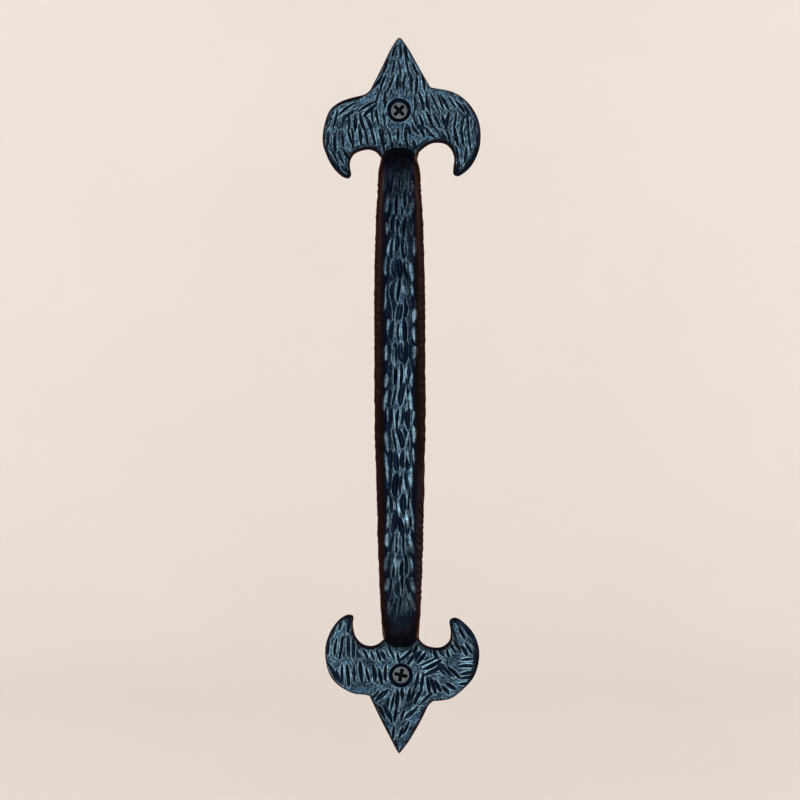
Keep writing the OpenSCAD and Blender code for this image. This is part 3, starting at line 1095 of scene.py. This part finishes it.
class StageSizes(bpy.types.PropertyGroup):
    """The camera, the lights and the pale paper."""
    colour: colour_setting("Paper", "Colour of the floor and backdrop", (0.78, 0.76, 0.73))
    camera_distance: length_setting("Camera distance", "From the mounting plane", 0.6)
    camera_height: length_setting("Camera height", "Height of the camera from the origin", -0.0032)
    camera_roll: angle_setting("Camera roll", "Turn of the camera about its view", 0.0033)
    lens: number_setting("Lens", "Focal length in millimetres", 60.6)
    key_power: number_setting("Key power", "Power of the front light", 13, unit="POWER")
    key_width: length_setting("Key width", "Width of the front light", 0.46)
    key_height: length_setting("Key height", "Height of the front light", 1.25)
    side_power: number_setting(
        "Side power", "Power of each dim warm light beside the handle", 2, unit="POWER")
    wash_power: number_setting("Wash power", "Power of each light on the paper", 50, unit="POWER")
    room_light: number_setting("Room light", "Brightness of the dim room round the stage", 0.25)
    paper_distance: length_setting(
        "Paper distance", "From the mounting plane to the upright paper", 2.6)
    floor_drop: length_setting("Floor drop", "Height of the handle's tip above the floor", 0.3)


SETTINGS = {
    "handle_plates": PlateSizes,
    "handle_grip": GripSizes,
    "handle_screws": ScrewSizes,
    "handle_finish": Finish,
    "handle_stage": StageSizes,
}


# ---- operators

def shared_material(maker, finish, name):
    """Makes a material once and then finds it again by name."""
    return bpy.data.materials.get(name) or maker(finish)


class HANDLE_OT_end_plates(bpy.types.Operator):
    """Cut, round and hammer the two end plates"""
    bl_idname = "handle.end_plates"
    bl_label = "End Plates"

    def execute(self, context):
        sizes = context.scene.handle_plates
        paint = shared_material(black_iron, context.scene.handle_finish, "satin_paint")
        for node in ("upper_plate", "lower_plate"):
            piece = shape_plate(node, sizes)
            finish_piece(piece, node, paint, crease=50)
        return {"FINISHED"}


class HANDLE_OT_grip(bpy.types.Operator):
    """Shape and hammer the bowed grip and rivet its tenons"""
    bl_idname = "handle.grip"
    bl_label = "Grip"

    def execute(self, context):
        sizes = context.scene.handle_grip
        paint = shared_material(black_iron, context.scene.handle_finish, "satin_paint")
        piece = shape_grip(sizes)
        low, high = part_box("grip")
        upper_inset, lower_inset = 7.3 * MM, 7.4 * MM
        combine(piece, tenon("upper_tenon", high[2] - upper_inset, sizes), "UNION")
        combine(piece, tenon("lower_tenon", low[2] + lower_inset, sizes), "UNION")
        finish_piece(piece, "grip", paint, crease=50)
        return {"FINISHED"}


class HANDLE_OT_screws(bpy.types.Operator):
    """Turn and thread the two wood screws"""
    bl_idname = "handle.screws"
    bl_label = "Screws"

    def execute(self, context):
        sizes = context.scene.handle_screws
        steel = shared_material(screw_steel, context.scene.handle_finish, "dull_steel")
        for node, turn in (("upper_screw", sizes.upper_turn), ("lower_screw", sizes.lower_turn)):
            piece = shape_screw(node, turn, sizes)
            finish_piece(piece, node, steel, crease=40)
        return {"FINISHED"}


def add_area(name, place, target, size, power, colour):
    """A soft rectangular light aimed at a point."""
    light = bpy.data.lights.new(name, "AREA")
    light.shape = "RECTANGLE"
    light.size, light.size_y = size
    light.energy = power
    light.color = colour
    holder = bpy.data.objects.new(name, light)
    bpy.context.collection.objects.link(holder)
    holder.location = place
    holder.rotation_euler = (Vector(target) - Vector(place)).to_track_quat("-Z", "Y").to_euler()
    holder.visible_camera = False


def paper_sweep(floor_z, distance):
    """One sheet of paper that runs along the floor and curves up behind the handle."""
    front, width, step, radius = -4, 9, 0.5, 1.1
    travel = [(front + i * step, floor_z) for i in range(9)]
    travel += [
        (distance - radius + radius * math.sin(a), floor_z + radius * (1 - math.cos(a)))
        for a in np.linspace(0, math.pi / 2, 25)]
    travel += [(distance, floor_z + radius + i * step) for i in range(1, 8)]
    sweep = add_grid("paper_sweep", 1, len(travel) - 1)
    places = points_of(sweep)
    line = np.array(travel)[grid_steps(places[:, 1], len(travel) - 1)]
    set_points(sweep, np.column_stack([places[:, 0] * width, line]))
    activate(sweep)
    bpy.ops.object.shade_smooth()
    return sweep


class HANDLE_OT_stage(bpy.types.Operator):
    """Set up the camera, the soft lights and the pale paper"""
    bl_idname = "handle.stage"
    bl_label = "Stage"

    def execute(self, context):
        stage = context.scene.handle_stage
        lowest = CAD_BOX[0][2]
        sweep = paper_sweep(lowest - stage.floor_drop, stage.paper_distance)
        sweep.data.materials.append(shared_material(pale_paper, stage, "pale_paper"))

        camera = bpy.data.objects.new("camera", bpy.data.cameras.new("camera"))
        context.collection.objects.link(camera)
        camera.location = (0, -stage.camera_distance, stage.camera_height)
        camera.rotation_euler = (math.pi / 2, stage.camera_roll, 0)
        camera.data.lens = stage.lens
        camera.data.sensor_width = 36
        context.scene.camera = camera

        centre = (0, 0, 0)
        white, pale, warm = (1, 1, 1), (1, 0.97, 0.94), (1, 0.32, 0.14)
        key_size = (stage.key_width, stage.key_height)
        add_area("key", (0, -1.4, 0.02), centre, key_size, stage.key_power, white)
        for side in (-1, 1):
            place, target = (side * 2.2, 0.3, 1.5), (side * 0.3, 2.6, 0)
            add_area("paper_wash", place, target, (1.2, 2.6), stage.wash_power, pale)
            add_area("warm_side", (side * 1.1, 0.25, 0), centre, (1, 1.6), stage.side_power, warm)

        world = bpy.data.worlds.new("studio")
        world.use_nodes = True
        room = world.node_tree.nodes["Background"].inputs
        room["Color"].default_value = (1.0, 0.8, 0.7, 1)
        room["Strength"].default_value = stage.room_light
        context.scene.world = world
        context.scene.view_settings.view_transform = "Standard"
        return {"FINISHED"}


class HANDLE_PT_panel(bpy.types.Panel):
    """Lists the pieces of the pull handle"""
    bl_label = "Pull Handle"
    bl_idname = "HANDLE_PT_panel"
    bl_space_type = "VIEW_3D"
    bl_region_type = "UI"
    bl_category = "Pull Handle"

    def draw(self, context):
        for operator in OPERATORS:
            self.layout.operator(operator.bl_idname)


OPERATORS = (HANDLE_OT_end_plates, HANDLE_OT_grip, HANDLE_OT_screws, HANDLE_OT_stage)


def register():
    for group in SETTINGS.values():
        bpy.utils.register_class(group)
    for name, group in SETTINGS.items():
        setattr(bpy.types.Scene, name, bpy.props.PointerProperty(type=group))
    for operator in OPERATORS:
        bpy.utils.register_class(operator)
    bpy.utils.register_class(HANDLE_PT_panel)


def unregister():
    bpy.utils.unregister_class(HANDLE_PT_panel)
    for operator in reversed(OPERATORS):
        bpy.utils.unregister_class(operator)
    for name in SETTINGS:
        delattr(bpy.types.Scene, name)
    for group in reversed(SETTINGS.values()):
        bpy.utils.unregister_class(group)


def main():
    register()
    bpy.ops.handle.end_plates()
    bpy.ops.handle.grip()
    bpy.ops.handle.screws()
    bpy.ops.handle.stage()


if __name__ == "__main__":
    main()
